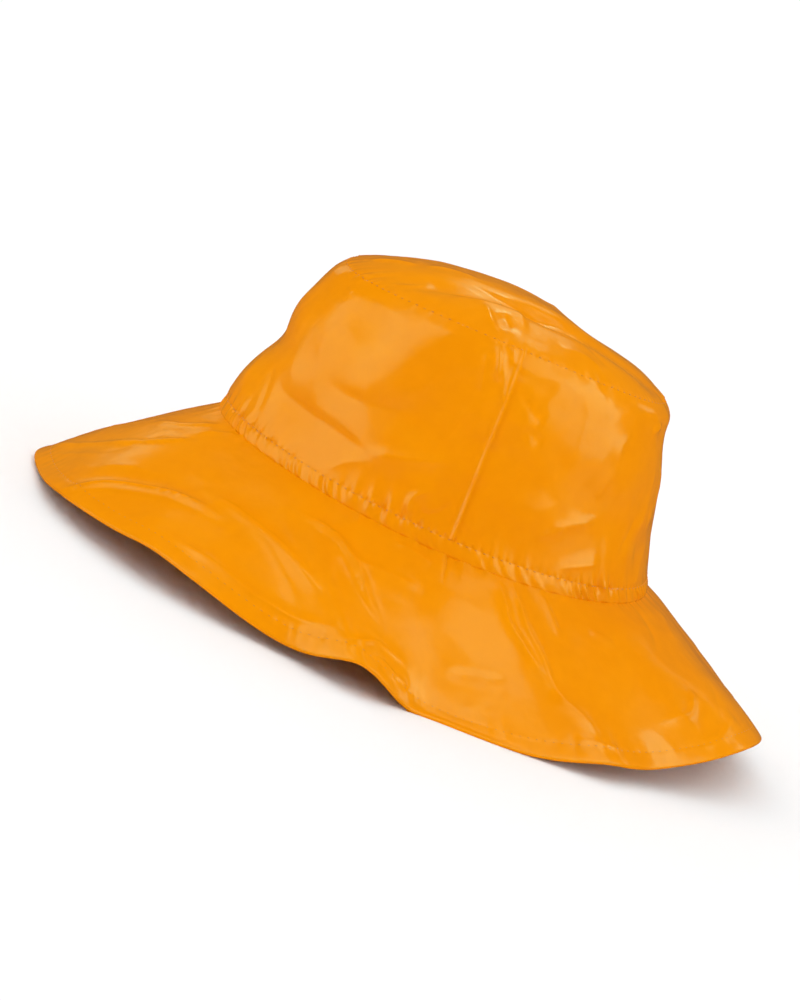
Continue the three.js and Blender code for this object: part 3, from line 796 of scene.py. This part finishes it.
def brim_hem_corners():
    """The cloth turned under along the edge. Its outer side faces down."""
    angles = all_round(HEM_COLUMNS)
    rows = [edge_roll(angles, 150.0, HEM_LAYER_GAP), edge_roll(angles, 180.0, HEM_LAYER_GAP)]
    for way in HEM_WAYS:
        along = np.full(angles.shape, -1.0 + (EDGE_RADIUS + way) / BRIM_WIDTH)
        points = outer_face(angles, along)
        height = brim_relief(angles, along, points) - 2 * EDGE_RADIUS - HEM_LAYER_GAP
        height += HEM_LIFT * smoothstep(np.array(way), HEM_WIDTH - 1.0, HEM_WIDTH + 0.5)
        rows.append(points + face_normal(angles, along) * height[..., None])
    # Facing down, the columns run the other way round.
    return np.stack(rows, axis=1)[::-1]


def stitch_shape():
    """One stitch as a small bead of thread, 1 long, wide and high: its corners and faces."""
    bpy.ops.mesh.primitive_uv_sphere_add(segments=6, ring_count=4, radius=0.5, rotation=(0.0, math.pi / 2, 0.0))
    bead = bpy.context.object
    bpy.ops.object.transform_apply(location=False, rotation=True, scale=False)
    corners = np.round(np.array([v.co for v in bead.data.vertices]), 6) + 0.0
    # The primitive's corners and faces change places from run to run, so they are put in one order.
    order = np.lexsort(corners.T)
    place = np.argsort(order).tolist()
    faces = [[place[v] for v in p.vertices] for p in bead.data.polygons]
    faces = sorted(face[face.index(min(face)):] + face[:face.index(min(face))] for face in faces)
    bpy.data.objects.remove(bead)
    return corners[order], faces


def stitch_line(name, round_mm, along, relief, deep=STITCHES_DEEP):
    """Stitches all round the hat, each lying midway between two needle holes and pointing to the next one."""
    sizes = bpy.context.scene.hat_sizes
    count = stitch_count(round_mm)
    angle = (np.arange(count) + 0.5) * 360.0 / count
    along = np.full(count, along)
    points = outer_face(angle, along)
    normal = face_normal(angle, along)
    places = points + normal * (relief(angle, along, points) - deep)[..., None]
    ahead = np.roll(points, -1, axis=0) - points
    ahead[-1] = points[-1] - points[-2]
    ahead = unit(ahead - normal * (ahead * normal).sum(-1, keepdims=True))
    beside = np.cross(normal, ahead)
    long, thick = sizes.stitch_length / MM, sizes.thread_width / MM
    corners, faces = stitch_shape()
    moved = (
        places[:, None, :]
        + corners[None, :, :1] * long * ahead[:, None, :]
        + corners[None, :, 1:2] * thick * beside[:, None, :]
        + corners[None, :, 2:3] * thick * normal[:, None, :]
    )
    polygons = [[v + k * len(corners) for v in face] for k in range(count) for face in faces]
    return add_piece(name, moved.reshape(-1, 3), polygons, thread_finish())


# Finishes.


class Value:
    """A socket of a finish's nodes, as a value for Python expressions."""

    def __init__(self, finish, socket):
        self.finish = finish
        self.socket = socket

    def maths(self, operation, first, second=None):
        inputs = {0: first} if second is None else {0: first, 1: second}
        return self.finish.node("ShaderNodeMath", {"operation": operation}, inputs)

    def __add__(self, other):
        return self.maths("ADD", self, other)

    def __radd__(self, other):
        return self.maths("ADD", other, self)

    def __mul__(self, other):
        return self.maths("MULTIPLY", self, other)

    def __rmul__(self, other):
        return self.maths("MULTIPLY", other, self)

    def sine(self):
        return self.maths("SINE", self)

    def clear_of(self, low, high):
        """0 below low and 1 above high, smoothly between them."""
        inputs = {"Value": self, "From Min": low, "From Max": high}
        return self.finish.node("ShaderNodeMapRange", {"interpolation_type": "SMOOTHSTEP"}, inputs)

    def parts(self):
        """The X and Y of a vector."""
        outputs = self.finish.node("ShaderNodeSeparateXYZ", None, {"Vector": self}).socket.node.outputs
        return Value(self.finish, outputs["X"]), Value(self.finish, outputs["Y"])


class Finish:
    """A material's nodes while they are put together."""

    def __init__(self, name, constants):
        self.material = bpy.data.materials.new(name)
        self.material.use_nodes = True
        self.tree = self.material.node_tree
        self.shader = next(n for n in self.tree.nodes if n.type == "BSDF_PRINCIPLED")
        for socket, value in constants.items():
            self.shader.inputs[socket].default_value = value

    def node(self, kind, settings=None, inputs=None, output=0):
        """Adds a node, sets it, then gives its sockets their values or links."""
        added = self.tree.nodes.new(kind)
        for name, value in (settings or {}).items():
            setattr(added, name, value)
        for socket, value in (inputs or {}).items():
            self.join(added.inputs[socket], value)
        return Value(self, added.outputs[output])

    def join(self, socket, value):
        if isinstance(value, Value):
            self.tree.links.new(value.socket, socket)
        else:
            socket.default_value = value

    def noise(self, size_mm):
        places = self.node("ShaderNodeTexCoord", output="Object")
        return self.node("ShaderNodeTexNoise", None, {"Vector": places, "Scale": 1.0 / (size_mm * MM)})

    def colour(self, share, base, dark, light):
        """The base colour times one shade, mixed by share with the same colour times another."""
        shades = [(*(min(1.0, c * f) for c, f in zip(base, factors)), 1.0) for factors in (dark, light)]
        # The colour sockets of a Mix node have the same names as its others, so they go by number.
        mixed = self.node("ShaderNodeMix", {"data_type": "RGBA"}, {0: share, 6: shades[0], 7: shades[1]}, output=2)
        self.join(self.shader.inputs["Base Color"], mixed)

    def relief(self, height, distance_mm):
        bump = self.node("ShaderNodeBump", None, {"Distance": distance_mm * MM, "Height": height})
        self.join(self.shader.inputs["Normal"], bump)


# From one thread of the cloth's weave to the next, and the sizes of its broad tint, crinkle and grain, in mm.
WEAVE_PITCH = 0.42
TINT_SIZE, CRINKLE_SIZE, GRAIN_SIZE = 45.0, 6.0, 0.9
FIBRE_SIZE = 0.25
MOTTLE_SIZE = 900.0


def cloth_finish():
    """Glossy coated cloth: a close weave under a skin that crinkles finely and varies a little in gloss."""
    if "glossy_cloth" in bpy.data.materials:
        return bpy.data.materials["glossy_cloth"]
    colours = bpy.context.scene.hat_colours
    finish = Finish("glossy_cloth", {"IOR": 1.5, "Specular IOR Level": 0.13})
    warp, weft = finish.node("ShaderNodeUVMap", {"uv_map": "cloth"}).parts()
    turns = 2 * math.pi * MAP_UNIT / WEAVE_PITCH
    weave = (warp * turns).sine() * (weft * turns).sine()
    crinkle = finish.noise(CRINKLE_SIZE)
    tint = (finish.noise(TINT_SIZE) * 0.7 + crinkle * 0.3).clear_of(0.35, 0.65)
    finish.colour(tint, colours.cloth, (0.975, 0.95, 1.0), (1.01, 1.02, 1.0))
    finish.join(finish.shader.inputs["Roughness"], colours.gloss_roughness - 0.05 + 0.1 * crinkle)
    finish.relief(crinkle + finish.noise(GRAIN_SIZE) * 0.02 + weave * 0.004, 0.12)
    return finish.material


def thread_finish():
    """Twisted sewing thread, a little darker than the cloth: partly its own colour, partly painted shade of the
    needle holes, so the stitches show as dark dots.
    """
    if "sewing_thread_painted_shade" in bpy.data.materials:
        return bpy.data.materials["sewing_thread_painted_shade"]
    finish = Finish("sewing_thread_painted_shade", {"Roughness": 0.6, "Sheen Weight": 0.15, "Sheen Roughness": 0.4})
    fibres = finish.noise(FIBRE_SIZE)
    # The darker thread colour is partly painted shade of the needle holes.
    finish.colour(fibres, bpy.context.scene.hat_colours.thread, (0.8,) * 3, (1.1,) * 3)
    finish.relief(fibres, 0.05)
    return finish.material


def floor_finish():
    finish = Finish("pale_floor", {"Roughness": 0.7, "Specular IOR Level": 0.0})
    finish.colour(finish.noise(MOTTLE_SIZE), bpy.context.scene.hat_colours.floor, (0.995,) * 3, (1.0,) * 3)
    return finish.material


# Operators, one for each piece or group of like pieces.


class HAT_OT_tip(bpy.types.Operator):
    """Sew the puffed oval tip"""

    bl_idname = "hat.tip"
    bl_label = "Tip"

    def execute(self, context):
        alongs, sunk = border_steps(1.0, 2.0, TIP_ROWS, TIP_AXES[0])
        keep = slice(None, -len(SEAM_TURN))
        corners = cloth_corners(all_round(TIP_COLUMNS), alongs[keep], tip_relief, sunk[keep])
        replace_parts(sewn_piece("crown_tip_cloth", corners, closed=True, pole=True), "crown_tip")
        return {"FINISHED"}


class HAT_OT_crown(bpy.types.Operator):
    """Sew the crown's two wall panels"""

    bl_idname = "hat.crown"
    bl_label = "Crown Panels"

    def execute(self, context):
        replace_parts(crown_panel("crown_front_cloth", -180.0, True), "crown_front_panel")
        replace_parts(crown_panel("crown_back_cloth", 0.0, False), "crown_back_panel")
        return {"FINISHED"}


class HAT_OT_band(bpy.types.Operator):
    """Sew the puckered band round the crown's base"""

    bl_idname = "hat.band"
    bl_label = "Base Band"

    def execute(self, context):
        alongs, sunk = border_steps(0.0, BAND_END, BAND_ROWS, WALL_RUN)
        corners = cloth_corners(all_round(BAND_COLUMNS), alongs, band_relief, sunk)
        corners[:, 0, 2] -= BAND_ALLOWANCE
        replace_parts(sewn_piece("base_band_cloth", corners, closed=True), "base_band")
        return {"FINISHED"}


class HAT_OT_brim(bpy.types.Operator):
    """Sew the brim's two panels and the hem turned under them"""

    bl_idname = "hat.brim"
    bl_label = "Brim"

    def execute(self, context):
        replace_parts(sewn_piece("brim_front_cloth", brim_corners(-180.0)), "brim_front_panel")
        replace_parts(sewn_piece("brim_back_cloth", brim_corners(0.0)), "brim_back_panel")
        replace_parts(sewn_piece("brim_hem_cloth", brim_hem_corners(), closed=True), "brim_hem")
        return {"FINISHED"}


class HAT_OT_stitches(bpy.types.Operator):
    """Sew the lines of stitches along the seams"""

    bl_idname = "hat.stitches"
    bl_label = "Stitches"

    def execute(self, context):
        stitch_line("tip_seam_stitches", TIP_ROUND, 1.0 - TIP_STITCHES_BELOW / WALL_RUN, crown_relief)
        stitch_line("band_stitches", BASE_ROUND, BAND_END - BAND_STITCHES_BELOW / WALL_RUN, band_relief)
        at_hem = -1.0 + HEM_WIDTH / BRIM_WIDTH
        stitch_line("hem_stitches", EDGE_ROUND, at_hem, brim_relief, HEM_STITCHES_DEEP)
        return {"FINISHED"}


class HAT_OT_stage(bpy.types.Operator):
    """Lay the pale floor and set the soft lights and the camera"""

    bl_idname = "hat.stage"
    bl_label = "Floor, Lights and Camera"

    def execute(self, context):
        lay_floor()
        light_the_room()
        for light in LIGHTS:
            add_softbox(*light)
        set_camera()
        return {"FINISHED"}


# The photograph's view: the camera's bearing from the hat's front, its height and its roll in degrees, its
# distance, its lens, and how far its axis passes right of and above the middle of the base seam, in mm.
CAMERA_BEARING, CAMERA_HEIGHT, CAMERA_ROLL = 80.0, 12.0, 24.5
CAMERA_DISTANCE, CAMERA_LENS = 1600.0, 135.4
AIM_RIGHT, AIM_UP = -12.78, -5.82

# Softboxes: name, bearing from the camera and height in degrees, distance, width and height in metres, and
# brightness as the radiance of their face.
LIGHTS = (
    ("softbox_left", -50.0, 13.0, 1.1, 0.58, 0.54, 5.5),
    ("softbox_high_left", -43.0, 39.5, 1.1, 0.32, 0.5, 5.5),
    ("softbox_dim_left", -64.0, 36.5, 1.1, 0.26, 0.6, 3.2),
    ("softbox_low_left", -82.0, 10.5, 1.1, 0.66, 0.38, 4.3),
    ("softbox_right", 78.0, 36.0, 1.1, 0.42, 0.8, 7.6),
    ("softbox_half_right", 50.0, 38.0, 1.1, 0.42, 0.84, 5.9),
    ("softbox_near_right", 27.0, 46.0, 1.1, 0.24, 0.34, 3.4),
    ("softbox_far_right", 94.0, 45.0, 1.1, 0.14, 0.3, 3.1),
    ("softbox_low_right", 72.0, 6.0, 1.1, 0.46, 0.22, 1.7),
    ("softbox_above", 78.0, 68.0, 1.1, 0.34, 0.28, 4.3),
    ("softbox_above_right", 140.0, 70.0, 1.1, 0.26, 0.2, 2.8),
    ("strip_above", -67.0, 70.0, 1.1, 0.08, 0.3, 8.6),
    ("strip_low_left", -147.0, 17.0, 1.2, 0.14, 0.26, 1.0),
    ("strip_left", -136.0, 55.0, 1.2, 0.03, 0.5, 2.6),
    ("strip_behind_right", 146.0, 34.0, 1.2, 0.04, 0.24, 1.7),
    ("softbox_behind_right", 130.0, 28.0, 1.2, 0.16, 0.2, 3.0),
    ("strip_behind", 179.0, 52.0, 1.3, 0.16, 0.1, 13.8),
    ("softbox_behind", 179.0, 45.0, 1.3, 0.32, 0.5, 1.4),
)
LIGHT_COLOUR = (0.3, 1.0, 0.62)
LIGHTS_RISE = 0.03  # how far above the base seam the softboxes point, in metres
FLOOR_SIZE = 40.0

# The even sky, ring by ring: how many suns, their height, the ring's whole strength and how broad each sun is.
SKY_RINGS = ((1, 90.0, 0.31, 40.0), (6, 52.0, 2.46, 45.0), (9, 17.0, 3.51, 40.0))
SKY_BEARING = 20.0  # of each ring's first sun from the camera
ROOM_GLOW = 0.06


def bearing_vector(bearing, height):
    """The way from the hat towards a bearing from its front, at a height above level."""
    turn, rise = math.radians(bearing), math.radians(height)
    return Vector((math.sin(turn) * math.cos(rise), -math.cos(turn) * math.cos(rise), math.sin(rise)))


def lay_floor():
    bpy.ops.object.select_all(action="DESELECT")
    bpy.ops.mesh.primitive_plane_add(size=FLOOR_SIZE, location=(0.0, 0.0, 0.0))
    floor = bpy.context.object
    floor.name = "floor"
    floor.data.materials.append(floor_finish())
    floor.visible_glossy = False


def light_the_room():
    """An even white sky made of broad suns, which the gloss doesn't show, and a white background."""
    for ring, (count, height, share, spread) in enumerate(SKY_RINGS):
        for k in range(count):
            light = bpy.data.lights.new(f"sky_{ring}_{k}", "SUN")
            light.energy = share / count
            light.angle = math.radians(spread)
            light.cycles.use_multiple_importance_sampling = False
            sun = add_object(light.name, light)
            way = bearing_vector(CAMERA_BEARING + SKY_BEARING + 360.0 * k / count, height)
            sun.rotation_euler = way.to_track_quat("Z", "Y").to_euler()
            sun.visible_glossy = False
    world = bpy.data.worlds.new("room")
    bpy.context.scene.world = world
    world.use_nodes = True
    nodes, links = world.node_tree.nodes, world.node_tree.links
    path = nodes.new("ShaderNodeLightPath")
    strength = nodes.new("ShaderNodeMapRange")
    strength.inputs["To Min"].default_value = ROOM_GLOW
    links.new(path.outputs["Is Camera Ray"], strength.inputs["Value"])
    links.new(strength.outputs[0], nodes["Background"].inputs["Strength"])
    nodes["Background"].inputs["Color"].default_value = (1.0, 1.0, 1.0, 1.0)


def add_softbox(name, bearing, height, distance, wide, tall, radiance):
    way = bearing_vector(CAMERA_BEARING + bearing, height)
    light = bpy.data.lights.new(name, "AREA")
    light.shape = "RECTANGLE"
    light.size, light.size_y = wide, tall
    light.energy = radiance * math.pi * wide * tall
    light.color = LIGHT_COLOUR
    box = add_object(name, light)
    box.location = SEAM_MIDDLE + Vector((0.0, 0.0, LIGHTS_RISE)) + way * distance
    box.rotation_euler = way.to_track_quat("Z", "Y").to_euler()
    box.visible_diffuse = False
    box.visible_camera = False


def set_camera():
    back = bearing_vector(CAMERA_BEARING, CAMERA_HEIGHT)
    right = Vector((math.cos(math.radians(CAMERA_BEARING)), math.sin(math.radians(CAMERA_BEARING)), 0.0))
    up = back.cross(right)
    roll = math.radians(CAMERA_ROLL)
    across = right * math.cos(roll) + up * math.sin(roll)
    upward = up * math.cos(roll) - right * math.sin(roll)
    place = SEAM_MIDDLE + (right * AIM_RIGHT + up * AIM_UP + back * CAMERA_DISTANCE) * MM
    camera = add_object("camera", bpy.data.cameras.new("camera"))
    camera.data.lens = CAMERA_LENS
    camera.matrix_world = Matrix((
        (across.x, upward.x, back.x, place.x),
        (across.y, upward.y, back.y, place.y),
        (across.z, upward.z, back.z, place.z),
        (0.0, 0.0, 0.0, 1.0),
    ))
    bpy.context.scene.camera = camera
    bpy.context.scene.view_settings.view_transform = "Standard"


OPERATORS = (HAT_OT_tip, HAT_OT_crown, HAT_OT_band, HAT_OT_brim, HAT_OT_stitches, HAT_OT_stage)


class VIEW3D_PT_hat(bpy.types.Panel):
    """Lists the hat's pieces in the order in which they are sewn"""

    bl_label = "Rain Hat"
    bl_space_type = "VIEW_3D"
    bl_region_type = "UI"
    bl_category = "Rain Hat"

    def draw(self, context):
        for settings in (context.scene.hat_sizes, context.scene.hat_colours):
            for name in settings.__annotations__:
                self.layout.prop(settings, name)
        for operator in OPERATORS:
            self.layout.operator(operator.bl_idname)


CLASSES = (HatSizes, HatColours, *OPERATORS, VIEW3D_PT_hat)


def register():
    for cls in CLASSES:
        bpy.utils.register_class(cls)
    bpy.types.Scene.hat_sizes = bpy.props.PointerProperty(type=HatSizes)
    bpy.types.Scene.hat_colours = bpy.props.PointerProperty(type=HatColours)


def unregister():
    del bpy.types.Scene.hat_colours
    del bpy.types.Scene.hat_sizes
    for cls in reversed(CLASSES):
        bpy.utils.unregister_class(cls)


def main():
    register()
    bpy.ops.hat.tip()
    bpy.ops.hat.crown()
    bpy.ops.hat.band()
    bpy.ops.hat.brim()
    bpy.ops.hat.stitches()
    bpy.ops.hat.stage()


if __name__ == "__main__":
    main()
